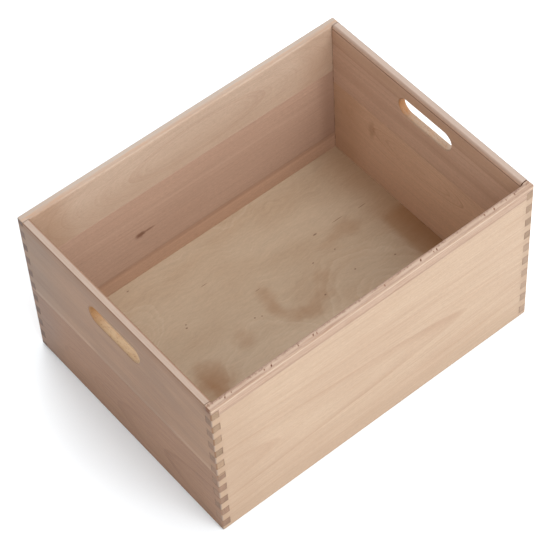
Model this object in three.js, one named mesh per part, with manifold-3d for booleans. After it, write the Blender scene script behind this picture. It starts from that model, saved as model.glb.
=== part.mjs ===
// An open-topped storage crate: four finger-jointed walls of edge-glued beech boards, a hand slot
// in each end wall, and a plywood floor held in a groove on all four sides.
//
// Millimetres. The origin is at the middle of the base, +X runs along the length, +Y to the back
// and +Z up. Every board is a separate solid in the place it has in the finished crate.

import * as THREE from 'three';
import { mergeVertices } from 'three/addons/utils/BufferGeometryUtils.js';
import Module from 'manifold-3d';

const wasm = await Module();
wasm.setup();

// Outer size of the crate and thickness of the wall boards.
const LENGTH = 400;
const WIDTH = 300;
const HEIGHT = 205;
const WALL = 9;

// Finger joint: equal fingers and sockets, with a narrow finger of the long walls at top and bottom.
const END_FINGERS = 10;
const FINGER = 10.15;
const FINGER_PITCH = 2 * FINGER;
const EDGE_FINGER = (HEIGHT - END_FINGERS * FINGER_PITCH + FINGER) / 2;
const GLUE_LINE = 0.1;

// Rounded edges: the rim outside and inside, the outer vertical corners, the outer bottom edge.
const RIM_OUTER_ROUND = 1.2;
const RIM_INNER_ROUND = 3.5;
const CORNER_ROUND = 1.6;
const BASE_ROUND = 1.5;
const ARC_STEPS = 5;

// Heights of the glued seams between the boards of each wall.
const FRONT_SEAMS = [190.8];
const BACK_SEAMS = [40, 138];
const LEFT_SEAMS = [94.75];
const RIGHT_SEAMS = [120.75];

// Hand slots: one stadium-shaped cutter for both ends, set at its own place in each. Its ends are
// half circles but for a narrow flat, and its mouths are rounded over.
const SLOT_LENGTH = 78;
const SLOT_HEIGHT = 22.8;
const SLOT_END_FLAT = 0.02;
const SLOT_ROUND = 2;
const SLOT_ARC_STEPS = 14;
const LEFT_SLOT = { y: 0, z: 167.5 };
const RIGHT_SLOT = { y: -2, z: 173.9 };

// Plywood floor and the groove around it.
const FLOOR_TOP = 16;
const FLOOR_THICKNESS = 5;
const GROOVE_DEPTH = 4;
const GROOVE_SLACK = 0.05;
const FLOOR_EDGE_GAP = 0.4;
const FLOOR_CORNER_ROUND = 2;

// How far a cutter runs past the face it cuts, and how close two vertices are to be the same one.
const OVERCUT = 2;
const SAME_POINT = 1e-4;

const HALF_LENGTH = LENGTH / 2;
const HALF_WIDTH = WIDTH / 2;
const INNER_X = HALF_LENGTH - WALL;
const INNER_Y = HALF_WIDTH - WALL;

// ---- Solids and geometry ----------------------------------------------------------------------

function solidOf(geometry) {
  const bare = geometry.clone();
  bare.deleteAttribute('normal');
  bare.deleteAttribute('uv');
  const merged = mergeVertices(bare, SAME_POINT);
  return new wasm.Manifold(new wasm.Mesh({
    numProp: 3,
    vertProperties: new Float32Array(merged.attributes.position.array),
    triVerts: new Uint32Array(merged.index.array),
  }));
}

function geometryOf(solid) {
  const mesh = solid.getMesh();
  const geometry = new THREE.BufferGeometry();
  geometry.setAttribute('position', new THREE.BufferAttribute(mesh.vertProperties, 3));
  geometry.setIndex(new THREE.BufferAttribute(mesh.triVerts, 1));
  geometry.computeVertexNormals();
  return geometry;
}

// A block between two opposite corners, given in any order.
function block(a, b) {
  const size = a.map((value, i) => Math.abs(b[i] - value));
  const middle = a.map((value, i) => (value + b[i]) / 2);
  return solidOf(new THREE.BoxGeometry(...size).translate(...middle));
}

// A convex outline swept through a list of levels: outline(grow) gives its [u, v] points, each level
// is [height, grow], and toPoint(u, v, height) puts them in space. Heights rise, and (u, v, height)
// is right-handed in space.
function loft(outline, levels, toPoint) {
  const count = outline(0).length;
  const points = levels.flatMap(
    ([height, grow]) => outline(grow).map(([u, v]) => toPoint(u, v, height)));
  const faces = [];
  for (let level = 0; level + 1 < levels.length; level += 1) {
    for (let i = 0; i < count; i += 1) {
      const a = level * count + i;
      const b = level * count + ((i + 1) % count);
      faces.push(a, b, b + count, a, b + count, a + count);
    }
  }
  const top = (levels.length - 1) * count;
  for (let i = 1; i + 1 < count; i += 1) {
    faces.push(0, i + 1, i, top, top + i, top + i + 1);
  }
  const geometry = new THREE.BufferGeometry();
  geometry.setAttribute('position', new THREE.BufferAttribute(new Float32Array(points.flat()), 3));
  geometry.setIndex(faces);
  return solidOf(geometry);
}

// A rectangle with rounded corners, counter-clockwise.
function roundedRectangle(halfU, halfV, radius, steps) {
  const points = [];
  for (let corner = 0; corner < 4; corner += 1) {
    const centreU = (corner === 0 || corner === 3 ? 1 : -1) * (halfU - radius);
    const centreV = (corner < 2 ? 1 : -1) * (halfV - radius);
    for (let i = 0; i <= steps; i += 1) {
      const angle = (corner + i / steps) * Math.PI / 2;
      points.push([centreU + radius * Math.cos(angle), centreV + radius * Math.sin(angle)]);
    }
  }
  return points;
}

// Levels that round an edge over along a quarter circle: the first is at `start` and hasn't grown,
// the last is one radius further in the given direction and has grown by the radius.
function roundOver(start, radius, direction) {
  const levels = [];
  for (let i = 0; i <= ARC_STEPS; i += 1) {
    const angle = (i / ARC_STEPS) * Math.PI / 2;
    levels.push([start + direction * radius * Math.sin(angle), radius * (1 - Math.cos(angle))]);
  }
  return levels;
}

// ---- Shapes that all the walls share -------------------------------------------------------------

// The outside of the finished crate, with its edges rounded over.
function outerEnvelope() {
  const outline = (grow) => roundedRectangle(
    HALF_LENGTH + grow, HALF_WIDTH + grow, CORNER_ROUND + grow, ARC_STEPS);
  const shrink = ([height, grow]) => [height, -grow];
  const base = roundOver(BASE_ROUND, BASE_ROUND, -1).map(shrink).reverse();
  const rim = roundOver(HEIGHT - RIM_OUTER_ROUND, RIM_OUTER_ROUND, 1).map(shrink);
  return loft(outline, [...base, ...rim], (x, y, z) => [x, y, z]);
}

// What rounding the inner edge of the rim takes away.
function innerRimCutter() {
  const outline = (grow) => [[1, 1], [-1, 1], [-1, -1], [1, -1]]
    .map(([u, v]) => [u * (INNER_X + grow), v * (INNER_Y + grow)]);
  const levels = roundOver(HEIGHT - RIM_INNER_ROUND, RIM_INNER_ROUND, 1);
  levels.push([HEIGHT + OVERCUT, RIM_INNER_ROUND]);
  return loft(outline, levels, (x, y, z) => [x, y, z]);
}

// A hand slot through an end wall, its mouths rounded over on both faces.
function slotCutter(side, slot) {
  const outline = (grow) => roundedRectangle(
    SLOT_LENGTH / 2 + grow,
    SLOT_HEIGHT / 2 + grow,
    (SLOT_HEIGHT - SLOT_END_FLAT) / 2 + grow,
    SLOT_ARC_STEPS);
  const inside = roundOver(SLOT_ROUND, SLOT_ROUND, -1).reverse();
  const outside = roundOver(WALL - SLOT_ROUND, SLOT_ROUND, 1);
  const levels = [[-OVERCUT, SLOT_ROUND], ...inside, ...outside, [WALL + OVERCUT, SLOT_ROUND]];
  const start = side < 0 ? -HALF_LENGTH : INNER_X;
  return loft(outline, levels, (y, z, x) => [start + x, slot.y + y, slot.z + z]);
}

// Bottom and top of the end walls' finger number `index`, counted from the base.
function fingerSpan(index) {
  const bottom = EDGE_FINGER + index * FINGER_PITCH;
  return [bottom, bottom + FINGER];
}

// The sockets in the ends of a long wall, which the end walls' fingers fill.
function longWallSockets(side) {
  const cuts = [];
  for (let index = 0; index < END_FINGERS; index += 1) {
    const [bottom, top] = fingerSpan(index);
    for (const end of [-1, 1]) {
      cuts.push(block(
        [end * (INNER_X - GLUE_LINE / 2), side * (INNER_Y - OVERCUT), bottom - GLUE_LINE / 2],
        [end * (HALF_LENGTH + OVERCUT), side * (HALF_WIDTH + OVERCUT), top + GLUE_LINE / 2]));
    }
  }
  return cuts;
}

// The sockets in the ends of an end wall, which the long walls' fingers fill.
function endWallSockets(side) {
  const cuts = [];
  for (let index = 0; index <= END_FINGERS; index += 1) {
    const bottom = index === 0 ? -OVERCUT : fingerSpan(index - 1)[1] - GLUE_LINE / 2;
    const top = index === END_FINGERS ? HEIGHT + OVERCUT : fingerSpan(index)[0] + GLUE_LINE / 2;
    for (const end of [-1, 1]) {
      cuts.push(block(
        [side * (INNER_X - OVERCUT), end * (INNER_Y - GLUE_LINE / 2), bottom],
        [side * (HALF_LENGTH + OVERCUT), end * (HALF_WIDTH + OVERCUT), top]));
    }
  }
  return cuts;
}

// The floor groove. In the long walls it runs out into the lowest socket; in the end walls it stops
// inside the lowest finger, so that it doesn't show on the outside.
function grooveCutter() {
  return block(
    [-INNER_X - GROOVE_DEPTH, -INNER_Y - GROOVE_DEPTH, FLOOR_TOP - FLOOR_THICKNESS - GROOVE_SLACK],
    [INNER_X + GROOVE_DEPTH, INNER_Y + GROOVE_DEPTH, FLOOR_TOP + GROOVE_SLACK]);
}

// ---- Pieces --------------------------------------------------------------------------------------

const BEECH = {
  pale: { color: 0xdcbf9f, roughness: 0.62 },
  rosy: { color: 0xd2ab90, roughness: 0.64 },
  grey: { color: 0xcdb59b, roughness: 0.62 },
  brown: { color: 0xc39c80, roughness: 0.65 },
};
const BIRCH_PLYWOOD = { color: 0xd2b890, roughness: 0.6 };

function piece(name, solid, finish) {
  const material = new THREE.MeshStandardMaterial({ ...finish, metalness: 0 });
  const mesh = new THREE.Mesh(geometryOf(solid), material);
  mesh.name = name;
  return mesh;
}

// Cuts one wall into its boards at the seams; each board is { name, finish }, from the bottom up.
function boardsOf(wall, seams, boards) {
  const edges = [-OVERCUT, ...seams, HEIGHT + OVERCUT];
  return boards.map(({ name, finish }, index) => {
    const slice = block(
      [-LENGTH, -WIDTH, edges[index] + GLUE_LINE / 2],
      [LENGTH, WIDTH, edges[index + 1] - GLUE_LINE / 2]);
    return piece(name, wall.intersect(slice), finish);
  });
}

function shapedWall(blank, cuts) {
  const shaped = blank.intersect(outerEnvelope());
  const allCuts = [innerRimCutter(), grooveCutter(), ...cuts];
  return allCuts.reduce((wall, cut) => wall.subtract(cut), shaped);
}

function longWall(side) {
  const blank = block([-HALF_LENGTH, side * HALF_WIDTH, 0], [HALF_LENGTH, side * INNER_Y, HEIGHT]);
  return shapedWall(blank, longWallSockets(side));
}

function endWall(side, slot) {
  const blank = block([side * HALF_LENGTH, -HALF_WIDTH, 0], [side * INNER_X, HALF_WIDTH, HEIGHT]);
  return shapedWall(blank, [...endWallSockets(side), slotCutter(side, slot)]);
}

function floorPanel() {
  const reach = GROOVE_DEPTH - FLOOR_EDGE_GAP;
  const outline = () => roundedRectangle(
    INNER_X + reach, INNER_Y + reach, FLOOR_CORNER_ROUND, ARC_STEPS);
  const levels = [[FLOOR_TOP - FLOOR_THICKNESS, 0], [FLOOR_TOP, 0]];
  const panel = loft(outline, levels, (x, y, z) => [x, y, z]);
  return piece('floor_panel', panel, BIRCH_PLYWOOD);
}

const crate = new THREE.Group();
crate.add(
  ...boardsOf(longWall(-1), FRONT_SEAMS, [
    { name: 'front_main_board', finish: BEECH.pale },
    { name: 'front_top_board', finish: BEECH.rosy },
  ]),
  ...boardsOf(longWall(1), BACK_SEAMS, [
    { name: 'back_bottom_board', finish: BEECH.brown },
    { name: 'back_middle_board', finish: BEECH.rosy },
    { name: 'back_top_board', finish: BEECH.pale },
  ]),
  ...boardsOf(endWall(-1, LEFT_SLOT), LEFT_SEAMS, [
    { name: 'left_bottom_board', finish: BEECH.brown },
    { name: 'left_top_board', finish: BEECH.grey },
  ]),
  ...boardsOf(endWall(1, RIGHT_SLOT), RIGHT_SEAMS, [
    { name: 'right_bottom_board', finish: BEECH.rosy },
    { name: 'right_top_board', finish: BEECH.brown },
  ]),
  floorPanel(),
);

export default crate;
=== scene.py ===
"""Looks of the open wooden crate: nine beech boards and a birch plywood floor, in a soft studio.

Lengths are in millimetres in the shapes and in the patterns of the materials, and become metres
where a mesh is made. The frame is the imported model's: origin at the middle of the base, +X along
the length, +Y to the back, +Z up.
"""

import math
import random

import bmesh
import bpy
from mathutils import Matrix, Vector


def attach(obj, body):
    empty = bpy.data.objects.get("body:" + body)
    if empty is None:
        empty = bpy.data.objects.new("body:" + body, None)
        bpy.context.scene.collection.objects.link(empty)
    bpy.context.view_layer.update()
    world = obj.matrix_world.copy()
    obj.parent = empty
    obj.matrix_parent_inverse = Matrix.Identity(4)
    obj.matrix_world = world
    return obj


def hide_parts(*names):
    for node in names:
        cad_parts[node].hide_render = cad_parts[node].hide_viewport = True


MM = 0.001

# Outer size of the crate and thickness of the wall boards.
LENGTH = 400.0
WIDTH = 300.0
HEIGHT = 205.0
WALL = 9.0
HALF_LENGTH = LENGTH / 2
HALF_WIDTH = WIDTH / 2
INNER_X = HALF_LENGTH - WALL
INNER_Y = HALF_WIDTH - WALL

# Finger joint: equal fingers and sockets, with a narrow finger of the long walls at top and bottom.
END_FINGERS = 10
FINGER = 10.15
FINGER_PITCH = 2 * FINGER
EDGE_FINGER = (HEIGHT - END_FINGERS * FINGER_PITCH + FINGER) / 2

# Glue gaps: around the fingers (least and most), at the short joints in the rim, and at the seams.
FINGER_GAPS = (0.05, 0.22)
RIM_JOINT_GAP = 0.6
SEAM_GAP = 0.14
LONG_WALL_SEED = 3
END_WALL_SEED = 4

# Open joint at the front right corner of the rim: its width inside and outside, and its depth.
CORNER_GAPS = (0.9, 1.3)
CORNER_GAP_DEPTH = EDGE_FINGER - 1.5

# Rounded edges, and the fine bevel that sanding leaves on every edge sharper than the angle.
RIM_OUTER_ROUND = 1.2
RIM_INNER_ROUND = 3.5
CORNER_ROUND = 1.6
BASE_ROUND = 1.5
ARC_STEPS = 8
SANDED_EDGE = 0.12
SHARP_ANGLE = 50.0

# Points closer than this are merged.
SAME_POINT = 0.002

# Glued seams between the boards of each wall.
FRONT_SEAMS = [190.8]
BACK_SEAMS = [40.0, 138.0]
LEFT_SEAMS = [94.75]
RIGHT_SEAMS = [120.75]

# Hand slots.
SLOT_LENGTH = 78.0
SLOT_HEIGHT = 22.8
SLOT_END_FLAT = 0.02
SLOT_ROUND = 2.0
SLOT_ARC_STEPS = 20
LEFT_SLOT = (0.0, 167.5)
RIGHT_SLOT = (-2.0, 173.9)

# Plywood floor and the groove around it.
FLOOR_TOP = 16.0
FLOOR_THICKNESS = 5.0
GROOVE_DEPTH = 4.0
GROOVE_SLACK = 0.05
GROOVE_TOP = FLOOR_TOP + GROOVE_SLACK
GROOVE_BOTTOM = FLOOR_TOP - FLOOR_THICKNESS - GROOVE_SLACK
FLOOR_EDGE_GAP = 0.4
FLOOR_CORNER_ROUND = 2.0

# How far a cutter reaches past what it cuts.
OVERCUT = 2.0

# Gouges of torn grain in the front rim: places along X, and the least and most of their half length,
# half width, depth, slant in degrees and distance from the inner face.
RIM_PITS = [-180, -172, -134, -126, -93, -75, -71, 12, 57, 73, 77, 139, 151, 167, 178]
PIT_LENGTH = (2.6, 3.6)
PIT_WIDTH = (1.0, 1.6)
PIT_DEPTH = (0.7, 1.2)
PIT_SLANT = (50, 75)
PIT_INSET = (4.4, 6.0)
PIT_SEED = 7

# Grain of the beech: features per millimetre along the grain and across it.
STREAK_SCALE = (0.012, 0.5)
FIBRE_SCALE = (0.22, 1.1)
HAIR_SCALE = (0.3, 4.0)
RAY_SCALE = (0.7, 1.9)
HUE_SCALE = (0.009, 0.03)

# How much each kind of grain lightens and darkens the beech.
STREAK_TONE = 0.34
FIBRE_TONE = 0.55
HAIR_TONE = 0.24
PORE_TONE = 1.3
FINGER_TONE = 0.22

# Camera: headings in degrees, from +Y towards +X, and below the horizon.
CAMERA_AIM = (-10.8, -13.5, 102.6)
CAMERA_HEADING = 36.595
CAMERA_PITCH = 52.559
CAMERA_ROLL = -3.78
CAMERA_DISTANCE = 2291.0
CAMERA_LENS = 148.14
CAMERA_SENSOR = 36.0

# Light: an even white room, softboxes from the front and from behind, and a weak one from high on
# the front right. A softbox is (name, heading and pitch it shines in, distance, width, height, watts),
# in metres.
WORLD_LIGHT = 0.70
LIGHT_AIM = (0.0, 0.0, 0.1)
SOFTBOXES = [
    ("front", 0.0, 35.0, 3.2, 2.3, 2.3, 78.0),
    ("front_right", -45.0, 62.0, 3.2, 2.3, 2.3, 30.0),
    ("back_right", -160.0, 35.0, 3.2, 2.3, 2.3, 72.0),
]
PAPER_HALF = 4000.0


# ---- Meshes --------------------------------------------------------------------------------------


def mesh_object(name, points, faces):
    mesh = bpy.data.meshes.new(name)
    mesh.from_pydata([[MM * value for value in point] for point in points], [], faces)
    mesh.update()
    thing = bpy.data.objects.new(name, mesh)
    bpy.context.scene.collection.objects.link(thing)
    return thing


def loft(name, outline, levels, to_point):
    """A convex outline swept through levels.

    outline(grow) gives the outline's points, grown by so much, and a level is (height, grow).
    """
    count = len(outline(0.0))
    points = [to_point(u, v, height) for height, grow in levels for u, v in outline(grow)]
    faces = []
    for level in range(len(levels) - 1):
        for i in range(count):
            a = level * count + i
            b = level * count + (i + 1) % count
            faces.append((a, b, b + count, a + count))
    top = (len(levels) - 1) * count
    faces.append(tuple(reversed(range(count))))
    faces.append(tuple(range(top, top + count)))
    return mesh_object(name, points, faces)


def block_points(a, b):
    low = [min(pair) for pair in zip(a, b)]
    high = [max(pair) for pair in zip(a, b)]
    return [
        (x, y, z)
        for z in (low[2], high[2])
        for x, y in ((low[0], low[1]), (high[0], low[1]), (high[0], high[1]), (low[0], high[1]))
    ]


BLOCK_FACES = [(3, 2, 1, 0), (4, 5, 6, 7), (0, 1, 5, 4), (1, 2, 6, 5), (2, 3, 7, 6), (3, 0, 4, 7)]


def blocks(name, corner_pairs):
    """One mesh of separate blocks, each between two opposite corners."""
    points = []
    faces = []
    for a, b in corner_pairs:
        faces += [tuple(len(points) + i for i in face) for face in BLOCK_FACES]
        points += block_points(a, b)
    return mesh_object(name, points, faces)


def rounded_rectangle(half_u, half_v, radius, steps):
    points = []
    for corner in range(4):
        centre_u = (1 if corner in (0, 3) else -1) * (half_u - radius)
        centre_v = (1 if corner < 2 else -1) * (half_v - radius)
        for i in range(steps + 1):
            angle = (corner + i / steps) * math.pi / 2
            points.append((centre_u + radius * math.cos(angle), centre_v + radius * math.sin(angle)))
    return points


def round_over(start, radius, direction):
    """Levels along a quarter circle, from `start` with no growth to a radius further, grown by it."""
    angles = [(i / ARC_STEPS) * math.pi / 2 for i in range(ARC_STEPS + 1)]
    return [
        (start + direction * radius * math.sin(angle), radius * (1 - math.cos(angle)))
        for angle in angles
    ]


def drop(thing):
    mesh = thing.data
    bpy.data.objects.remove(thing)
    bpy.data.meshes.remove(mesh)


def evaluated_mesh(thing):
    graph = bpy.context.evaluated_depsgraph_get()
    return bpy.data.meshes.new_from_object(thing.evaluated_get(graph))


def bake_modifiers(thing):
    """Puts the result of the modifiers in the mesh and removes them."""
    result = evaluated_mesh(thing)
    old = thing.data
    thing.modifiers.clear()
    thing.data = result
    bpy.data.meshes.remove(old)


def combine(thing, other, operation):
    """Takes `other` away from `thing`, or keeps what both hold; `other` is used up."""
    modifier = thing.modifiers.new("combine", "BOOLEAN")
    modifier.operation = operation
    modifier.object = other
    modifier.solver = "MANIFOLD"
    bake_modifiers(thing)
    drop(other)


# ---- Shapes that all the walls share -------------------------------------------------------------


def same_place(x, y, z):
    return (x, y, z)


def outer_envelope():
    """The outside of the finished crate, with its edges rounded over."""

    def outline(grow):
        return rounded_rectangle(
            HALF_LENGTH + grow, HALF_WIDTH + grow, CORNER_ROUND + grow, ARC_STEPS
        )

    base = [(z, -grow) for z, grow in reversed(round_over(BASE_ROUND, BASE_ROUND, -1))]
    rim = [(z, -grow) for z, grow in round_over(HEIGHT - RIM_OUTER_ROUND, RIM_OUTER_ROUND, 1)]
    return loft("envelope", outline, base + rim, same_place)


def inner_rim_cutter():
    """What rounding the inner edge of the rim takes away."""

    def outline(grow):
        return [
            (u * (INNER_X + grow), v * (INNER_Y + grow))
            for u, v in ((1, 1), (-1, 1), (-1, -1), (1, -1))
        ]

    levels = round_over(HEIGHT - RIM_INNER_ROUND, RIM_INNER_ROUND, 1)
    levels.append((HEIGHT + OVERCUT, RIM_INNER_ROUND))
    return loft("inner_rim", outline, levels, same_place)


def slot_cutter(side, slot):
    """A hand slot through an end wall, its mouths rounded over on both faces."""

    def outline(grow):
        return rounded_rectangle(
            SLOT_LENGTH / 2 + grow,
            SLOT_HEIGHT / 2 + grow,
            (SLOT_HEIGHT - SLOT_END_FLAT) / 2 + grow,
            SLOT_ARC_STEPS,
        )

    inside = list(reversed(round_over(SLOT_ROUND, SLOT_ROUND, -1)))
    outside = round_over(WALL - SLOT_ROUND, SLOT_ROUND, 1)
    levels = [(-OVERCUT, SLOT_ROUND)] + inside + outside + [(WALL + OVERCUT, SLOT_ROUND)]
    start = -HALF_LENGTH if side < 0 else INNER_X
    return loft("slot", outline, levels, lambda y, z, x: (start + x, slot[0] + y, slot[1] + z))


def groove_cutter():
    reach_x = INNER_X + GROOVE_DEPTH
    reach_y = INNER_Y + GROOVE_DEPTH
    return blocks(
        "groove", [((-reach_x, -reach_y, GROOVE_BOTTOM), (reach_x, reach_y, GROOVE_TOP))]
    )


def finger_span(index):
    """Bottom and top of the end walls' finger number `index`, counted from the base."""
    bottom = EDGE_FINGER + index * FINGER_PITCH
    return bottom, bottom + FINGER


def long_wall_sockets(side):
    """The sockets in the ends of a long wall, which the end walls' fingers fill."""
    chance = random.Random(LONG_WALL_SEED)
    pairs = []
    for index in range(END_FINGERS):
        bottom, top = finger_span(index)
        for end in (-1, 1):
            gap = chance.uniform(*FINGER_GAPS)
            inner = (end * (INNER_X - gap), side * (INNER_Y - OVERCUT), bottom - gap)
            outer = (end * (HALF_LENGTH + OVERCUT), side * (HALF_WIDTH + OVERCUT), top + gap)
            pairs.append((inner, outer))
    return blocks("sockets", pairs)


def end_socket_span(index, gap):
    """Bottom and top of the end walls' socket number `index`; the first and the last are open.

    The second one starts at the top of the floor's groove, so that no sliver stays between them.
    """
    bottom = finger_span(index - 1)[1] - gap
    top = finger_span(index)[0] + gap
    if index == 0:
        bottom = -OVERCUT
    if index == 1:
        bottom = GROOVE_TOP
    if index == END_FINGERS:
        top = HEIGHT + OVERCUT
    return bottom, top


def end_wall_sockets(side):
    """The sockets in the ends of an end wall, which the long walls' fingers fill."""
    chance = random.Random(END_WALL_SEED)
    pairs = []
    for index in range(END_FINGERS + 1):
        for end in (-1, 1):
            gap = RIM_JOINT_GAP if index == END_FINGERS else chance.uniform(*FINGER_GAPS)
            bottom, top = end_socket_span(index, gap)
            inner = (side * (INNER_X - OVERCUT), end * (INNER_Y - gap), bottom)
            outer = (side * (HALF_LENGTH + OVERCUT), end * (HALF_WIDTH + OVERCUT), top)
            pairs.append((inner, outer))
    return blocks("sockets", pairs)


def rim_pits():
    """Small slanting gouges where the grain tore out of the inner half of the front rim."""
    chance = random.Random(PIT_SEED)
    points = []
    faces = []
    for x in RIM_PITS:
        length = chance.uniform(*PIT_LENGTH)
        width = chance.uniform(*PIT_WIDTH)
        depth = chance.uniform(*PIT_DEPTH)
        turn = math.radians(chance.uniform(*PIT_SLANT))
        centre = Vector((x, -INNER_Y - chance.uniform(*PIT_INSET), HEIGHT + 0.05))
        along = Vector((math.cos(turn), math.sin(turn), 0)) * length
        across = Vector((-math.sin(turn), math.cos(turn), 0)) * width
        top = Vector((0, 0, 0.4))
        first = len(points)
        points += [
            centre - along + top,
            centre + across + top,
            centre + along + top,
            centre - across + top,
            centre + along * chance.uniform(-0.2, 0.2) - Vector((0, 0, depth)),
        ]
        faces.append((first + 3, first + 2, first + 1, first))
        for i in range(4):
            faces.append((first + i, first + (i + 1) % 4, first + 4))
    return mesh_object("pits", points, faces)


def corner_gap_cutter():
    """The front right corner of the rim, where the right wall's edge stops short of the front wall."""
    inside = INNER_X - 0.5
    outside = HALF_LENGTH + OVERCUT
    front = -INNER_Y - 0.5
    outline = [
        (inside, front),
        (outside, front),
        (outside, -INNER_Y + CORNER_GAPS[1]),
        (inside, -INNER_Y + CORNER_GAPS[0]),
    ]
    levels = [(HEIGHT - CORNER_GAP_DEPTH, 0.0), (HEIGHT + OVERCUT, 0.0)]
    return loft("corner_gap", lambda grow: outline, levels, same_place)


# ---- Walls and floor -----------------------------------------------------------------------------


def merge_slivers(thing):
    """Removes the faces without area that cuts leave where two of them nearly meet."""
    work = bmesh.new()
    work.from_mesh(thing.data)
    bmesh.ops.remove_doubles(work, verts=work.verts, dist=SAME_POINT * MM)
    bmesh.ops.dissolve_degenerate(work, edges=work.edges, dist=SAME_POINT * MM)
    work.to_mesh(thing.data)
    work.free()


def finish_edges(thing):
    """Sands the sharp edges and shades the roundings smooth and the faces flat."""
    bevel = thing.modifiers.new("sanded", "BEVEL")
    bevel.width = SANDED_EDGE * MM
    bevel.segments = 2
    bevel.limit_method = "ANGLE"
    bevel.angle_limit = math.radians(SHARP_ANGLE)
    bevel.use_clamp_overlap = True
    bake_modifiers(thing)
    merge_slivers(thing)
    thing.data.shade_smooth()
    thing.data.set_sharp_from_angle(angle=math.radians(SHARP_ANGLE))
    normals = thing.modifiers.new("normals", "WEIGHTED_NORMAL")
    normals.keep_sharp = True
    bake_modifiers(thing)


def shaped_wall(name, blank, cuts):
    wall = blocks(name, [blank])
    combine(wall, outer_envelope(), "INTERSECT")
    for cut in [inner_rim_cutter(), groove_cutter(), *cuts]:
        combine(wall, cut, "DIFFERENCE")
    return wall


def long_wall(side, *more_cuts):
    blank = ((-HALF_LENGTH, side * HALF_WIDTH, 0), (HALF_LENGTH, side * INNER_Y, HEIGHT))
    return shaped_wall("long_wall", blank, [long_wall_sockets(side), *more_cuts])


def end_wall(side, slot, *more_cuts):
    blank = ((side * HALF_LENGTH, -HALF_WIDTH, 0), (side * INNER_X, HALF_WIDTH, HEIGHT))
    cuts = [end_wall_sockets(side), slot_cutter(side, slot), *more_cuts]
    return shaped_wall("end_wall", blank, cuts)


def stand_in(thing, node, material):
    """Gives a finished piece its material and its place in the model."""
    thing.data.materials.clear()
    thing.data.materials.append(material)
    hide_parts(node)
    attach(thing, "root")


def boards_of(wall, seams, boards):
    """Cuts one wall into its boards at the seams; a board is (node, slot, material), bottom up, and
    its slot is not used.
    """
    edges = [-OVERCUT, *seams, HEIGHT + OVERCUT]
    for index, (node, slot, material) in enumerate(boards):
        board = mesh_object(node + "_detail", [], [])
        board.data = wall.data.copy()
        low = edges[index] + SEAM_GAP / 2
        high = edges[index + 1] - SEAM_GAP / 2
        combine(board, blocks("slice", [((-LENGTH, -WIDTH, low), (LENGTH, WIDTH, high))]), "INTERSECT")
        finish_edges(board)
        stand_in(board, node, material)
    drop(wall)


def floor_panel(material):
    reach = GROOVE_DEPTH - FLOOR_EDGE_GAP
    outline = rounded_rectangle(INNER_X + reach, INNER_Y + reach, FLOOR_CORNER_ROUND, ARC_STEPS)
    levels = [(FLOOR_TOP - FLOOR_THICKNESS, 0.0), (FLOOR_TOP, 0.0)]
    panel = loft("floor_panel_detail", lambda grow: outline, levels, same_place)
    finish_edges(panel)
    stand_in(panel, "floor_panel", material)


# ---- Node trees ----------------------------------------------------------------------------------


def linear(red, green, blue):
    """A colour given as 0 to 255 display values, as the shader takes it."""

    def channel(value):
        share = value / 255
        return share / 12.92 if share <= 0.04045 else ((share + 0.055) / 1.055) ** 2.4

    return (channel(red), channel(green), channel(blue), 1.0)


class Value:
    """A number, vector or colour in a node tree. Arithmetic on it adds Math nodes."""

    def __init__(self, graph, socket):
        self.graph = graph
        self.socket = socket

    def __add__(self, other):
        return self.graph.math("ADD", self, other)

    def __sub__(self, other):
        return self.graph.math("SUBTRACT", self, other)

    def __rsub__(self, other):
        return self.graph.math("SUBTRACT", other, self)

    def __mul__(self, other):
        return self.graph.math("MULTIPLY", self, other)

    def __truediv__(self, other):
        return self.graph.math("DIVIDE", self, other)

    def root(self):
        return self.graph.math("SQRT", self)

    def floor(self):
        return self.graph.math("FLOOR", self)

    def fraction(self):
        return self.graph.math("FRACT", self)

    def size(self):
        return self.graph.math("ABSOLUTE", self)

    def at_least(self, limit):
        return self.graph.math("MAXIMUM", self, limit)

    def at_most(self, limit):
        return self.graph.math("MINIMUM", self, limit)

    def ramp(self, low, high):
        """0 below low, 1 above high and smooth between; falling where low is above high."""
        return self.graph.smooth_step(self, low, high)


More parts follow.
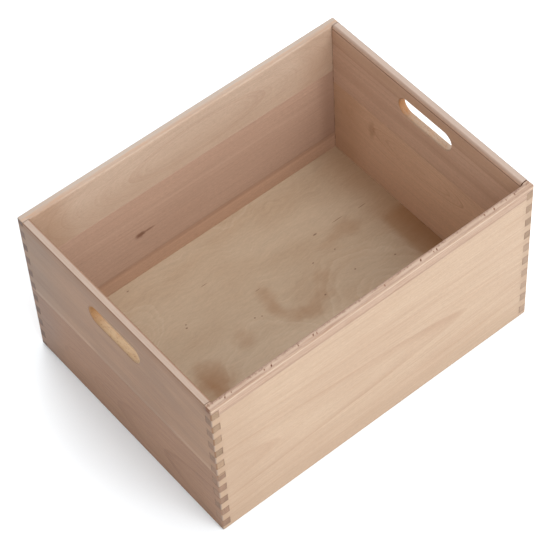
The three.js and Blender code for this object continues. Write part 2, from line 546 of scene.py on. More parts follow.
class Graph:
    """One material's node tree. Positions are in millimetres in the crate's frame."""

    def __init__(self, name):
        self.material = bpy.data.materials.new(name)
        self.material.use_nodes = True
        self.tree = self.material.node_tree
        self.tree.nodes.clear()
        place = self.node("ShaderNodeTexCoord")
        scaled = self.node("ShaderNodeVectorMath", operation="SCALE")
        self.tree.links.new(place.outputs["Object"], scaled.inputs[0])
        scaled.inputs["Scale"].default_value = 1 / MM
        self.position = Value(self, scaled.outputs[0])
        self.x, self.y, self.z = self.split(self.position)
        self.normals = self.split(Value(self, place.outputs["Normal"]))

    def axis(self, name):
        """The position along x, y or z."""
        return {"x": self.x, "y": self.y, "z": self.z}[name]

    def normal(self, name):
        """The surface normal's share along x, y or z."""
        return self.normals["xyz".index(name)]

    def node(self, kind, **settings):
        node = self.tree.nodes.new(kind)
        for name, value in settings.items():
            setattr(node, name, value)
        return node

    def feed(self, socket, value):
        if isinstance(value, Value):
            self.tree.links.new(value.socket, socket)
        else:
            socket.default_value = value

    def math(self, operation, a, b=0.0):
        node = self.node("ShaderNodeMath", operation=operation)
        self.feed(node.inputs[0], a)
        self.feed(node.inputs[1], b)
        return Value(self, node.outputs[0])

    def split(self, vector):
        node = self.node("ShaderNodeSeparateXYZ")
        self.feed(node.inputs[0], vector)
        return [Value(self, output) for output in node.outputs]

    def vector(self, x, y, z):
        node = self.node("ShaderNodeCombineXYZ")
        for socket, value in zip(node.inputs, (x, y, z)):
            self.feed(socket, value)
        return Value(self, node.outputs[0])

    def smooth_step(self, value, low, high):
        node = self.node("ShaderNodeMapRange", interpolation_type="SMOOTHSTEP")
        falling = low > high
        self.feed(node.inputs["Value"], value)
        node.inputs["From Min"].default_value = min(low, high)
        node.inputs["From Max"].default_value = max(low, high)
        node.inputs["To Min"].default_value = 1.0 if falling else 0.0
        node.inputs["To Max"].default_value = 0.0 if falling else 1.0
        return Value(self, node.outputs["Result"])

    def noise(self, vector, detail=2.0, roughness=0.5):
        """Noise from 0 to 1, about one feature for each unit of the vector."""
        node = self.node("ShaderNodeTexNoise")
        self.feed(node.inputs["Vector"], vector)
        node.inputs["Scale"].default_value = 1.0
        node.inputs["Detail"].default_value = detail
        node.inputs["Roughness"].default_value = roughness
        return Value(self, node.outputs[0])

    def chance(self, number):
        """A random value from 0 to 1 for each whole number."""
        node = self.node("ShaderNodeTexWhiteNoise", noise_dimensions="1D")
        self.feed(node.inputs["W"], number)
        return Value(self, node.outputs["Value"])

    def mix(self, share, a, b):
        """Colour a, turning into b as share goes from 0 to 1."""
        node = self.node("ShaderNodeMix", data_type="RGBA")
        # Inputs 6 and 7 and output 2 are the node's colour sockets.
        self.feed(node.inputs["Factor"], share)
        self.feed(node.inputs[6], a)
        self.feed(node.inputs[7], b)
        return Value(self, node.outputs[2])

    def scaled(self, colour, factor):
        """A colour made lighter or darker by a factor near 1."""
        node = self.node("ShaderNodeVectorMath", operation="SCALE")
        self.feed(node.inputs[0], colour if isinstance(colour, Value) else colour[:3])
        self.feed(node.inputs["Scale"], factor)
        return Value(self, node.outputs[0])

    def output(self, colour, roughness, height, strength):
        """Closes the tree with a nearly matt surface."""
        shader = self.node("ShaderNodeBsdfPrincipled")
        self.feed(shader.inputs["Base Color"], colour)
        self.feed(shader.inputs["Roughness"], roughness)
        shader.inputs["Specular IOR Level"].default_value = 0.35
        bump = self.node("ShaderNodeBump")
        bump.inputs["Strength"].default_value = strength
        bump.inputs["Distance"].default_value = MM
        self.feed(bump.inputs["Height"], height)
        self.tree.links.new(bump.outputs["Normal"], shader.inputs["Normal"])
        out = self.node("ShaderNodeOutputMaterial")
        self.tree.links.new(shader.outputs[0], out.inputs["Surface"])
        return self.material


# ---- Materials -----------------------------------------------------------------------------------


def growth_rings(graph, u, v, depth, figure, rings, seed):
    """How much late wood shows: in the broad rings, and in the fine ones between them."""
    edge, outer_spacing, inner_spacing = rings
    # A slow drift and a small waver bend the rings.
    drift = graph.noise(graph.vector(u * 0.006, v * 0.018, seed), 2.0)
    waver = graph.noise(graph.vector(u * 0.03, v * 0.07, depth * 0.05 + seed), 2.0)
    centre, deep = figure(u)
    height = v - centre + (drift - 0.5) * 6.0 + (waver - 0.5) * 2.2
    below = deep - depth
    beyond = (height * height + below * below).root() - edge
    ring = beyond.at_least(0.0) / outer_spacing + beyond.at_most(0.0) / inner_spacing

    # Every ring has its own strength. Its late wood builds up slowly and ends sharply.
    chance = graph.chance(ring.floor() + seed)
    strongest = (ring.floor() + 1.5).size().ramp(1.2, 0.8)
    weight = chance * chance * 0.75 + strongest * 0.55
    patchy = graph.noise(graph.vector(u * 0.012, v * 0.05, seed + 5.0), 1.0).ramp(0.3, 0.62)
    phase = ring.fraction()
    broad = phase.ramp(0.62, 0.965) * phase.ramp(1.0, 0.97) * weight * (patchy * 0.6 + 0.4)
    fine_ring = ring * 4.7
    fine = fine_ring.fraction().ramp(0.1, 0.9) * graph.chance(fine_ring.floor() + seed)
    return broad, fine


def beech(name, axes, face, colours, figure, rings, contrast, seed, marks=(), worked=()):
    """Planed and sanded beech, without a finish.

    axes name the board's directions: with the grain, up the face, and into the wall from `face`.
    colours are (light wood, late wood, end grain). figure(u) gives the height on the face that the
    rings are centred on, and how deep below the face their centre lies. rings are (edge, spacing
    outside it, spacing inside it), and the two strongest rings are the outermost ones inside
    radius `edge`. marks are this board's own marks in the wood, with some painted shade and highlight
    among them, and worked are its sanded and cut places and the painted shade on its roundings, rim
    edges and joint gap, which cover the end grain too. Both are functions (graph, colour) -> colour.
    """
    graph = Graph(name)
    u, v, w = [graph.axis(axis) for axis in axes]
    light, late, end = colours
    broad, fine = growth_rings(graph, u, v, w - face, figure, rings, seed)

    def grain(scale, shift, detail=2.0, roughness=0.5):
        along, across = scale
        place = graph.vector(u * along, v * across, w * across + shift)
        return graph.noise(place, detail, roughness)

    streak = grain(STREAK_SCALE, seed, 3.0, 0.65)
    fibre = grain(FIBRE_SCALE, seed, 3.0, 0.75)
    hair = grain(HAIR_SCALE, seed, 1.0)
    ray = grain(RAY_SCALE, -seed, 1.0).ramp(0.6, 0.74)
    hue = grain(HUE_SCALE, 3 * seed)

    colour = graph.mix(hue.ramp(0.38, 0.62) * 0.14, light, late)
    colour = graph.mix(broad * contrast, colour, late)
    colour = graph.mix(fine * (0.5 * contrast), colour, late)
    colour = graph.mix(ray * 0.4, colour, late)
    tone = (streak - 0.5) * STREAK_TONE + (fibre - 0.5) * FIBRE_TONE + (hair - 0.5) * HAIR_TONE
    colour = graph.scaled(colour, tone + 1.0)
    for mark in marks:
        colour = mark(graph, colour)

    cut_across = graph.normal(axes[0]).size().ramp(0.55, 0.8)
    pores = graph.noise(graph.vector(v * 1.5, w * 1.5, u * 0.4 + seed), 3.0, 0.75)
    soaked = graph.noise(graph.vector(v * 0.05, w * 0.1, seed + 2.0), 1.0)
    own_finger = graph.chance(((graph.z - EDGE_FINGER) / FINGER).floor() + seed)
    end_tone = (pores - 0.5) * PORE_TONE + (0.5 - fine) * 0.16 + (soaked - 0.5) * 0.5 + 1.0
    end_tone = (own_finger - 0.6) * FINGER_TONE + end_tone
    colour = graph.mix(cut_across, colour, graph.scaled(end, end_tone))

    for place in [stained_joints, *worked]:
        colour = place(graph, colour)

    roughness = (streak - 0.5) * 0.2 + (fibre - 0.5) * 0.15 + cut_across * 0.12 + 0.55
    relief = fibre * 0.05 + hair * 0.04 + cut_across * pores * 0.08 - ray * 0.03
    return graph.output(colour, roughness, relief, 0.6)


def straight(height):
    """Nearly straight grain: the rings' centre is far off, above or below the board."""
    return lambda u: (u * 0.0 + height, u * 0.0 + 20.0)


def band(axis, centre, reach, tint, share):
    """A straight stretch of another tone, strongest at `centre` on one axis."""

    def accent(graph, under):
        patchy = graph.noise(graph.scaled(graph.position, 0.03), 1.0)
        away = (graph.axis(axis) - centre).size()
        return graph.mix(away.ramp(reach, 0.3 * reach) * (patchy * 0.8 + 0.6) * share, under, tint)

    return accent


def spot(axes, centre, reach, tint, share):
    """A ragged oval mark of another tone, on the two axes named."""

    def accent(graph, under):
        place = [graph.axis(axis) for axis in axes]
        ragged = graph.noise(graph.vector(place[0] * 0.15, place[1] * 0.3, centre[0]), 2.0)
        away = oval(place, centre, reach) + (ragged - 0.5) * 0.8
        return graph.mix(away.ramp(1.15, 0.3) * share, under, tint)

    return accent


def oval(place, centre, reach):
    """How far a place is from an oval's centre: 1 on its outline."""
    across = (place[0] - centre[0]) / reach[0]
    along = (place[1] - centre[1]) / reach[1]
    return (across * across + along * along).root()


def shaded_torn_pits(graph, under):
    """Darker wherever the front rim lies deeper than its rounded outline: painted shade in the gouges,
    on top of the darker tone of their torn grain.
    """
    inward = (graph.y + INNER_Y + RIM_INNER_ROUND).at_least(0.0).at_most(RIM_INNER_ROUND)
    rounding = (RIM_INNER_ROUND * RIM_INNER_ROUND - inward * inward).root()
    sunk = rounding + (HEIGHT - RIM_INNER_ROUND) - graph.z
    outer_side = graph.y.ramp(-HALF_WIDTH + 1.2, -HALF_WIDTH + 1.6)
    inner_side = graph.y.ramp(-INNER_Y - 1.2, -INNER_Y - 1.8)
    share = sunk.ramp(0.04, 0.2) * outer_side * inner_side * 0.9
    return graph.mix(share, under, linear(116, 74, 50))


def torn_grain_and_edge_shade(graph, under):
    """Short dark nicks, slanting to the grain, along the inner edge of the front rim: torn grain, and
    painted shade that darkens the inner edge.
    """
    slant = graph.x - graph.y * 0.5
    nicks = graph.noise(graph.vector(slant * 0.5, graph.y * 0.3, graph.z * 0.3), 2.0)
    gathered = graph.noise(graph.vector(graph.x * 0.045, 4.0, 0.0), 1.0).ramp(0.36, 0.6)
    inner = graph.y.ramp(-INNER_Y - 5.0, -INNER_Y - 3.6) * graph.z.ramp(HEIGHT - 4.0, HEIGHT - 1.5)
    share = nicks.ramp(0.48, 0.62) * inner * (gathered * 0.5 + 0.12)
    return graph.mix(share, under, linear(106, 72, 54))


def stained_joints(graph, under):
    """Glue and dust that darken the outlines of the fingers, more in some places than others."""
    across = graph.x.size()
    deep = graph.y.size()
    step = (graph.z - EDGE_FINGER) / FINGER
    from_edge = 0.5 - (step.fraction() - 0.5).size()
    odd = (step.floor() * 0.5).fraction() * 2.0
    sides = from_edge.ramp(0.09, 0.01)
    ends_on_long = (across - INNER_X).size().ramp(0.9, 0.1) * (1.0 - odd)
    ends_on_short = (deep - INNER_Y).size().ramp(0.9, 0.1) * odd
    corner = across.ramp(INNER_X - 0.9, INNER_X - 0.3) * deep.ramp(INNER_Y - 0.9, INNER_Y - 0.3)
    patchy = graph.noise(graph.scaled(graph.position, 0.13), 1.0).ramp(0.35, 0.65)
    line = (sides + ends_on_long + ends_on_short).at_most(1.0) * corner
    return graph.mix(line * (patchy * 0.5 + 0.08), under, linear(106, 74, 54))


def rim_streaks(axes, tint, centre, reach, share):
    """Streaks of another tone in one strip of the rim; axes are along the strip and across it."""

    def accent(graph, under):
        along, across = [graph.axis(axis) for axis in axes]
        lines = graph.noise(graph.vector(along * 0.05, across * 1.1, centre), 3.0, 0.7)
        near = (across - centre).size().ramp(reach, 0.4 * reach)
        upward = graph.normal("z").ramp(0.2, 0.6)
        return graph.mix(near * upward * (lines.ramp(0.4, 0.6) * 0.7 + 0.3) * share, under, tint)

    return accent


def rim_edge_shade(axis, centre, reach, tint, share):
    """A darker line along the outer edge of the rim: painted shade on the side of the rounding that
    turns away from the light.
    """

    def accent(graph, under):
        near = (graph.axis(axis) - centre).size().ramp(reach, 0.3 * reach)
        return graph.mix(near * graph.z.ramp(HEIGHT - 2.4, HEIGHT - 0.8) * share, under, tint)

    return accent


def streaks(axes, tint, share, seed):
    """Thin streaks of another tone along the grain; axes are along it and the two across it."""

    def accent(graph, under):
        u, v, w = [graph.axis(axis) for axis in axes]
        lines = graph.noise(graph.vector(u * 0.02, v * 0.7, w * 0.7 + seed), 3.0, 0.6)
        return graph.mix(lines.ramp(0.48, 0.62) * share, under, tint)

    return accent


def clouds(axes, tint, share, seed):
    """Broad soft patches of another tone; axes are with the grain and up the face."""

    def accent(graph, under):
        u, v = [graph.axis(axis) for axis in axes]
        patches = graph.noise(graph.vector(u * 0.009, v * 0.035, seed), 2.0)
        return graph.mix(patches.ramp(0.4, 0.62) * share, under, tint)

    return accent


def painted_gap_shade(graph, under):
    """Painted shade in the open joint at the front right corner of the rim: the gap's lit end face is
    coloured dark brown to stand in for the shade inside the narrow gap.
    """
    facing = graph.normal("y").ramp(-0.3, -0.7)
    behind_front = graph.y.ramp(-INNER_Y - 2.0, -INNER_Y - 1.0)
    near_joint = graph.y.ramp(-INNER_Y + 5.0, -INNER_Y + 3.0)
    return graph.mix(facing * behind_front * near_joint * 0.9, under, linear(106, 66, 46))


def sanded_rim(tint):
    """The sanded top of the rim, a little greyer than the faces."""

    def accent(graph, under):
        return graph.mix(graph.normal("z").ramp(0.35, 0.85) * 0.7, under, tint)

    return accent


def rounding_shade(tint, share):
    """Painted shade on the rounded edges: a tint wherever the surface turns between faces, standing in
    for the shade on roundings that face away from the light.
    """

    def accent(graph, under):
        squares = [graph.normal(axis) * graph.normal(axis) for axis in "xyz"]
        flatness = squares[0] * squares[0] + squares[1] * squares[1] + squares[2] * squares[2]
        return graph.mix(flatness.ramp(0.98, 0.75) * share, under, tint)

    return accent


def slot_wood(slot, fresh, scorched):
    """Freshly cut wood in a hand slot: more orange than the faces, with dark pores and burns."""

    def accent(graph, under):
        across = (graph.y - slot[0]).size().ramp(SLOT_LENGTH / 2 + 5.0, SLOT_LENGTH / 2 + 3.5)
        upright = (graph.z - slot[1]).size().ramp(SLOT_HEIGHT / 2 + 3.1, SLOT_HEIGHT / 2 + 2.1)
        mouth = graph.normal("x").size().ramp(0.96, 0.7)
        stain = graph.noise(graph.vector(graph.x * 0.4, graph.y * 0.12, graph.z * 0.2), 2.0)
        specks = graph.noise(graph.vector(graph.x * 0.9, graph.y * 0.4, graph.z * 0.9), 2.0)
        burn = (graph.y - slot[0]).ramp(16.0, 44.0) + stain.ramp(0.5, 0.75) * 0.4
        colour = graph.mix(burn.at_most(1.0), fresh, scorched)
        colour = graph.mix(specks.ramp(0.56, 0.7) * 0.55, colour, linear(128, 92, 62))
        return graph.mix(across * upright * mouth, under, colour)

    return accent


def front_main_beech():
    """Pale board with a pointed figure, whose tip is where the rings' edge reaches the face."""
    edge = 56.0
    tip = 117.0

    def figure(u):
        before_tip = tip - u
        squared = edge * edge - before_tip * 3.7 - before_tip * before_tip * 0.0053
        return u * -0.022 + 84.0, squared.root()

    return beech(
        "beech_front_main", "xzy", -HALF_WIDTH,
        (linear(177, 153, 130), linear(154, 122, 99), linear(138, 109, 89)),
        figure, (edge, 8.6, 11.8), 0.52, 1.0,
        [
            band("x", -HALF_LENGTH, 70.0, linear(155, 128, 104), 0.25),
            band("x", -HALF_LENGTH, 14.0, linear(155, 124, 96), 0.3),
            band("x", HALF_LENGTH, 16.0, linear(155, 130, 108), 0.4),
            band("z", 0.0, 30.0, linear(155, 130, 108), 0.2),
            streaks("xzy", linear(150, 118, 90), 0.16, 17.0),
        ],
        [rounding_shade(linear(153, 138, 125), 0.5)],
    )


def front_top_beech():
    """Pinker strip along the front rim, with torn grain on its inner edge."""
    return beech(
        "beech_front_top", "xzy", -HALF_WIDTH,
        (linear(173, 147, 127), linear(145, 116, 95), linear(142, 116, 97)),
        straight(60.0), (134.4, 3.6, 3.6), 0.8, 12.0,
        [
            # Partly a painted highlight and partly worn wood: a lighter line along the top edge of the
            # face, at the rim's outer rounding.
            band("z", HEIGHT - 2.4, 1.6, linear(188, 166, 145), 0.7),
            band("z", FRONT_SEAMS[0] + 0.6, 2.2, linear(133, 103, 84), 0.4),
        ],
        [
            sanded_rim(linear(170, 147, 130)),
            rounding_shade(linear(120, 92, 72), 0.25),
            streaks("xzy", linear(140, 104, 80), 0.5, 3.0),
            rim_streaks("xy", linear(126, 96, 76), -INNER_Y - 2.0, 2.4, 0.6),
            torn_grain_and_edge_shade,
            rim_streaks("xy", linear(120, 88, 68), -HALF_WIDTH + 1.6, 1.3, 0.5),
            shaded_torn_pits,
        ],
    )


def back_bottom_beech():
    """Warm brown board with straight grain, darker along its upper seam."""
    return beech(
        "beech_back_bottom", "xzy", INNER_Y,
        (linear(182, 148, 125), linear(157, 123, 101), linear(112, 90, 78)),
        straight(-60.0), (82.0, 5.5, 5.5), 0.5, 23.0,
        [band("z", BACK_SEAMS[0], 6.0, linear(133, 99, 79), 0.35)],
    )


def back_middle_beech():
    """Pinkish board with one dark knot and its streak."""
    return beech(
        "beech_back_middle", "xzy", INNER_Y,
        (linear(176, 146, 127), linear(157, 126, 108), linear(111, 89, 78)),
        straight(-40.0), (140.0, 7.0, 6.0), 0.5, 34.0,
        [
            band("z", 106.0, 2.4, linear(189, 162, 143), 0.15),
            band("z", BACK_SEAMS[0], 3.0, linear(132, 98, 78), 0.3),
            # Painted shade: darker towards the right end, where the right wall shades the inside of
            # the back wall.
            band("x", INNER_X, 26.0, linear(132, 98, 80), 0.35),
            band("x", -INNER_X, 24.0, linear(132, 90, 61), 0.5),
            spot("xz", (-60.0, 79.0), (9.0, 2.2), linear(119, 81, 63), 0.7),
            spot("xz", (-70.0, 78.5), (8.5, 4.6), linear(113, 75, 58), 0.9),
        ],
    )


def back_top_beech():
    """Pale board with a long oval figure in its middle."""

    def figure(u):
        from_middle = u - 13.0
        return u * 0.0 + 169.0, from_middle * from_middle * 7.6e-4 + 36.5

    return beech(
        "beech_back_top", "xzy", INNER_Y,
        (linear(192, 170, 151), linear(165, 135, 116), linear(112, 90, 79)),
        figure, (42.5, 5.5, 5.9), 0.5, 45.0,
        [
            # Painted shade: the board darkens towards its lower edge, where the front wall shades the
            # inside of the back wall.
            band("z", 134.0, 56.0, linear(161, 133, 111), 0.36),
            band("x", -INNER_X, 60.0, linear(152, 114, 84), 0.4),
            # Painted shade: darker towards the right end, where the right wall shades the inside of
            # the back wall.
            band("x", INNER_X, 60.0, linear(161, 130, 107), 0.35),
        ],
        [
            sanded_rim(linear(149, 137, 127)),
            rim_streaks("xy", linear(176, 132, 98), INNER_Y + 2.4, 2.4, 0.5),
            rim_edge_shade("y", HALF_WIDTH - 0.4, 1.0, linear(132, 120, 110), 0.5),
        ],
    )


def left_bottom_beech():
    """Reddish-brown board, greyer towards the back. Its colours are darker than the wood's own:
    painted shade for the dim left face.
    """

    def figure(u):
        return u * 0.0 + 38.0, u * 0.12 + 60.0

    return beech(
        "beech_left_bottom", "yzx", -HALF_LENGTH,
        (linear(151, 114, 88), linear(132, 95, 71), linear(132, 104, 85)),
        figure, (62.0, 7.0, 9.0), 0.7, 56.0,
        [
            band("y", HALF_WIDTH, 60.0, linear(126, 108, 98), 0.4),
            streaks("yzx", linear(112, 80, 60), 0.4, 5.0),
        ],
    )


def left_top_beech():
    """Greyish board with broad clouds of tone, around the left hand slot. Its colours are darker than
    the wood's own: painted shade for the dim left face.
    """
    return beech(
        "beech_left_top", "yzx", -HALF_LENGTH,
        (linear(158, 123, 96), linear(143, 105, 80), linear(139, 114, 91)),
        straight(40.0), (90.0, 6.0, 6.0), 0.8, 67.0,
        [
            band("y", HALF_WIDTH, 80.0, linear(126, 112, 100), 0.45),
            band("z", LEFT_SEAMS[0] + 1.25, 8.0, linear(180, 152, 132), 0.3),
            # Painted shade: darker brown along the top of the face, just under the rim's rounding.
            band("z", HEIGHT - 2.0, 11.0, linear(134, 96, 66), 0.6),
            band("z", 156.0, 14.0, linear(150, 118, 92), 0.3),
            streaks("yzx", linear(118, 88, 66), 0.25, 8.0),
            clouds("yz", linear(126, 98, 78), 0.4, 6.0),
        ],
        [
            sanded_rim(linear(171, 156, 145)),
            rounding_shade(linear(122, 84, 56), 0.7),
            rim_streaks("yx", linear(140, 112, 90), -HALF_LENGTH + 4.5, 4.0, 0.4),
            slot_wood(LEFT_SLOT, linear(172, 143, 110), linear(158, 116, 74)),
        ],
    )


def right_bottom_beech():
    """Light brown board with a nested figure below its seam. Its colours are lighter than the wood's
    own: painted light that makes up for the little light reaching the inside of the right wall.
    """

    def figure(u):
        from_middle = u - 8.0
        return u * 0.0 + 97.0, from_middle * from_middle * 5.0e-4 + 45.0

    return beech(
        "beech_right_bottom", "yzx", INNER_X,
        (linear(209, 175, 149), linear(187, 150, 123), linear(146, 123, 104)),
        figure, (47.5, 5.0, 1.2), 0.6, 78.0,
        [
            band("y", 135.0, 55.0, linear(178, 138, 104), 0.4),
            spot("yz", (80.0, 95.0), (6.0, 16.0), linear(160, 122, 92), 0.45),
        ],
    )


def right_top_beech():
    """Board with dark straight bands, around the right hand slot. Its colours are lighter than the
    wood's own: painted light that makes up for the little light reaching the inside of the right wall.
    """
    return beech(
        "beech_right_top", "yzx", INNER_X,
        (linear(201, 168, 146), linear(173, 134, 111), linear(139, 115, 94)),
        straight(60.0), (123.5, 8.0, 8.0), 0.5, 89.0,
        [
            band("z", 149.0, 10.0, linear(176, 140, 116), 0.35),
            band("z", 182.0, 5.0, linear(170, 134, 108), 0.35),
            band("z", 192.0, 9.0, linear(180, 144, 114), 0.35),
            band("z", HEIGHT - 4.2, 1.0, linear(104, 72, 52), 0.8),
        ],
        [
            sanded_rim(linear(146, 135, 127)),
            rounding_shade(linear(140, 114, 96), 0.4),
            rim_streaks("yx", linear(140, 110, 92), INNER_X + 1.6, 1.6, 0.5),
            rim_edge_shade("x", HALF_LENGTH - 0.4, 0.9, linear(112, 98, 88), 0.8),
            slot_wood(RIGHT_SLOT, linear(166, 140, 118), linear(168, 118, 74)),
            painted_gap_shade,
        ],
    )


# Floor veneer: arcs are (centre x, centre y, half width, height of the outermost one), blotches are
# (x, y, reach in x, reach in y, share), specks are (x, y, half length, half width).
FLOOR_ARCS = [
    (104.0, -60.0, 74.0, 92.0),
    (-36.0, -62.0, 62.0, 72.0),
    (-140.0, 86.0, 60.0, 36.0),
    (50.0, 156.0, 84.0, 46.0),
]
FLOOR_BLOTCHES = [
    (-102.0, -14.0, 25.0, 30.0, 0.9),
    (-122.0, -36.0, 32.0, 30.0, 0.45),
    (-108.0, -18.0, 7.0, 28.0, 0.45),
    (-47.0, 6.0, 16.0, 26.0, 0.4),
    (6.0, 36.0, 13.0, 18.0, 0.45),
    (2.0, 16.0, 11.0, 20.0, 0.55),
    (12.0, -6.0, 18.0, 16.0, 0.45),
    (30.0, -13.0, 22.0, 14.0, 0.55),
    (50.0, -3.0, 18.0, 16.0, 0.4),
    (64.0, 12.0, 14.0, 16.0, 0.3),
    (126.0, 47.0, 26.0, 17.0, 0.45),
    (98.0, 41.0, 18.0, 12.0, 0.25),
]
FLOOR_SPECKS = [
    (-83.0, 55.0, 1.5, 1.1),
    (-81.0, 59.0, 1.0, 0.8),
    (-22.0, 19.0, 1.1, 1.0),
    (-15.0, 16.0, 0.9, 0.9),
    (69.0, 34.0, 1.4, 0.8),
    (98.0, 33.0, 1.1, 0.8),
    (97.0, -1.0, 1.2, 1.0),
    (52.0, -6.0, 1.4, 1.1),
    (141.0, -14.0, 1.2, 0.9),
    (-100.0, 133.0, 1.8, 0.7),
    (-35.0, 87.0, 5.0, 0.4),
    (3.0, 45.0, 3.5, 0.4),
    (95.0, 62.0, 2.8, 1.0),
    (126.0, 62.0, 8.0, 0.45),
    (158.0, 59.0, 6.0, 0.45),
]


def veneer_arcs(graph, place):
    """Light nested arcs where the peeled veneer cuts the growth rings at a slant."""
    lines = 0.0
    for index, (centre_x, centre_y, half_width, height) in enumerate(FLOOR_ARCS):
        away = oval(place, (centre_x, centre_y), (half_width, height)) * 8.0
        phase = away.fraction()
        line = phase.ramp(0.2, 0.88) * phase.ramp(1.0, 0.9)
        weight = graph.chance(away.floor() + index * 7.3)
        lines = line * weight * away.ramp(9.5, 7.5) * away.ramp(1.0, 3.5) + lines
    return lines


def birch_plywood():
    """Rotary-cut birch face veneer, with light arcs, brown blotches and a few pin knots."""
    graph = Graph("birch_plywood_face")
    warp = graph.noise(graph.vector(graph.x * 0.02, graph.y * 0.02, 3.0), 3.0)
    swirl = graph.noise(graph.vector(graph.x * 0.02, graph.y * 0.02, 9.0), 3.0)
    ragged = graph.noise(graph.vector(graph.x * 0.05, graph.y * 0.05, 15.0), 2.0)
    here = (graph.x, graph.y)
    bent = (graph.x + (warp - 0.5) * 40.0, graph.y + (swirl - 0.5) * 40.0)
    light = linear(190, 170, 146)
    brown = linear(142, 93, 44)

    cloud = graph.noise(graph.vector(graph.x * 0.01, graph.y * 0.02, 20.0), 3.0)
    plies = graph.noise(graph.vector(bent[0] * 0.014, bent[1] * 0.3, 26.0), 3.0, 0.6)
    threads = graph.noise(graph.vector(bent[0] * 0.02, bent[1] * 0.5, 36.0), 1.0).ramp(0.6, 0.75)
    fibre = graph.noise(graph.vector(graph.x * 0.2, graph.y * 0.9, graph.z * 0.9), 3.0, 0.75)
    colour = graph.mix(cloud.ramp(0.35, 0.7) * 0.5, light, linear(174, 148, 121))
    pale = veneer_arcs(graph, bent) * 0.2 + threads * 0.12
    colour = graph.mix(pale, colour, linear(212, 196, 174))
    colour = graph.scaled(colour, (plies - 0.5) * 0.24 + (fibre - 0.5) * 0.36 + 1.0)

    for centre_x, centre_y, reach_x, reach_y, share in FLOOR_BLOTCHES:
        away = oval(here, (centre_x, centre_y), (reach_x, reach_y)) + (ragged - 0.5)
        colour = graph.mix(away.ramp(1.1, 0.1) * (0.6 * share), colour, brown)
    # Browner towards the right wall: the sharp-edged patch near the right end is the veneer's dark
    # heartwood, and the broad darkening from x 138 is painted shade together with the painted orange
    # light that the right wall throws on the floor.
    right_end = graph.x.ramp(157.0, 167.0) * graph.y.ramp(44.0, 24.0) * 0.3
    colour = graph.mix(right_end + graph.x.ramp(138.0, 191.0) * 0.45, colour, brown)
    for centre_x, centre_y, reach_x, reach_y in FLOOR_SPECKS:
        away = oval(here, (centre_x, centre_y), (reach_x, reach_y))
        colour = graph.mix(away.ramp(1.2, 0.5) * 0.7, colour, linear(103, 72, 52))

    roughness = (fibre - 0.5) * 0.15 + 0.58
    return graph.output(colour, roughness, fibre * 0.04, 0.5)


def studio_paper():
    """Matt white paper that the crate stands on."""
    graph = Graph("studio_paper")
    tooth = graph.noise(graph.vector(graph.x * 0.5, graph.y * 0.5, 0.0), 3.0)
    colour = graph.scaled(linear(243, 247, 250), (tooth - 0.5) * 0.01 + 1.0)
    return graph.output(colour, tooth * 0.05 + 0.9, tooth * 0.02, 0.2)


# ---- Studio --------------------------------------------------------------------------------------


def direction(heading, pitch):
    """The unit vector that points so many degrees from +Y towards +X, and below the horizon."""
    h = math.radians(heading)
    p = math.radians(pitch)
    return Vector((math.sin(h) * math.cos(p), math.cos(h) * math.cos(p), -math.sin(p)))


def add_camera():
    forward = direction(CAMERA_HEADING, CAMERA_PITCH)
    level = forward.cross(Vector((0, 0, 1))).normalized()
    upright = level.cross(forward)
    roll = math.radians(CAMERA_ROLL)
    right = level * math.cos(roll) + upright * math.sin(roll)
    up = right.cross(forward)
    place = Vector(CAMERA_AIM) - forward * CAMERA_DISTANCE
    data = bpy.data.cameras.new("camera")
    data.lens = CAMERA_LENS
    data.sensor_width = CAMERA_SENSOR
    camera = bpy.data.objects.new("camera", data)
    turn = Matrix((right, up, -forward)).transposed().to_4x4()
    camera.matrix_world = Matrix.Translation(place * MM) @ turn
    bpy.context.scene.collection.objects.link(camera)
    bpy.context.scene.camera = camera


def add_softbox(name, heading, pitch, distance, width, height, power):
    """A square-on area light that shines at the crate from a heading and a pitch above it."""
    toward = direction(heading, pitch)
    data = bpy.data.lights.new(name, "AREA")
    data.shape = "RECTANGLE"
    data.size = width
    data.size_y = height
    data.energy = power
    light = bpy.data.objects.new(name, data)
    light.location = Vector(LIGHT_AIM) - toward * distance
    light.rotation_euler = toward.to_track_quat("-Z", "Y").to_euler()
    bpy.context.scene.collection.objects.link(light)


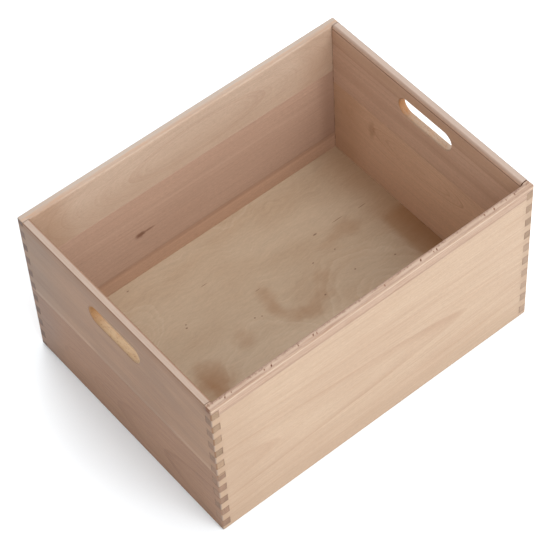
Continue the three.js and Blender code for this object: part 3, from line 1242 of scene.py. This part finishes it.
def add_studio():
    paper = mesh_object(
        "studio_floor",
        [(u * PAPER_HALF, v * PAPER_HALF, 0) for u, v in ((-1, -1), (1, -1), (1, 1), (-1, 1))],
        [(0, 1, 2, 3)],
    )
    paper.data.materials.append(studio_paper())
    world = bpy.data.worlds.new("studio")
    world.use_nodes = True
    background = world.node_tree.nodes["Background"]
    background.inputs["Color"].default_value = (1.0, 1.0, 1.0, 1.0)
    background.inputs["Strength"].default_value = WORLD_LIGHT
    bpy.context.scene.world = world
    for softbox in SOFTBOXES:
        add_softbox(*softbox)
    bpy.context.scene.view_settings.view_transform = "Standard"


# ---- The crate in its studio ---------------------------------------------------------------------


def front_wall():
    boards = [
        ("front_main_board", "beech_pale", front_main_beech()),
        ("front_top_board", "beech_rosy", front_top_beech()),
    ]
    boards_of(long_wall(-1, rim_pits()), FRONT_SEAMS, boards)


def back_wall():
    boards = [
        ("back_bottom_board", "beech_brown", back_bottom_beech()),
        ("back_middle_board", "beech_rosy", back_middle_beech()),
        ("back_top_board", "beech_pale", back_top_beech()),
    ]
    boards_of(long_wall(1), BACK_SEAMS, boards)


def left_wall():
    boards = [
        ("left_bottom_board", "beech_brown", left_bottom_beech()),
        ("left_top_board", "beech_grey", left_top_beech()),
    ]
    boards_of(end_wall(-1, LEFT_SLOT), LEFT_SEAMS, boards)


def right_wall():
    boards = [
        ("right_bottom_board", "beech_rosy", right_bottom_beech()),
        ("right_top_board", "beech_brown", right_top_beech()),
    ]
    boards_of(end_wall(1, RIGHT_SLOT, corner_gap_cutter()), RIGHT_SEAMS, boards)


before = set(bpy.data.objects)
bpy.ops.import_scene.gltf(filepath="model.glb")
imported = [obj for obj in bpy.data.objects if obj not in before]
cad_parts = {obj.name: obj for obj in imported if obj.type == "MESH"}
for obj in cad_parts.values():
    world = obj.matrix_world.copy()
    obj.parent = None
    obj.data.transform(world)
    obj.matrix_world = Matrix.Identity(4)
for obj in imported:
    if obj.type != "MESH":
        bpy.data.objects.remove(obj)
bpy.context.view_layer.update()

front_wall()
back_wall()
left_wall()
right_wall()
floor_panel(birch_plywood())
add_studio()
add_camera()
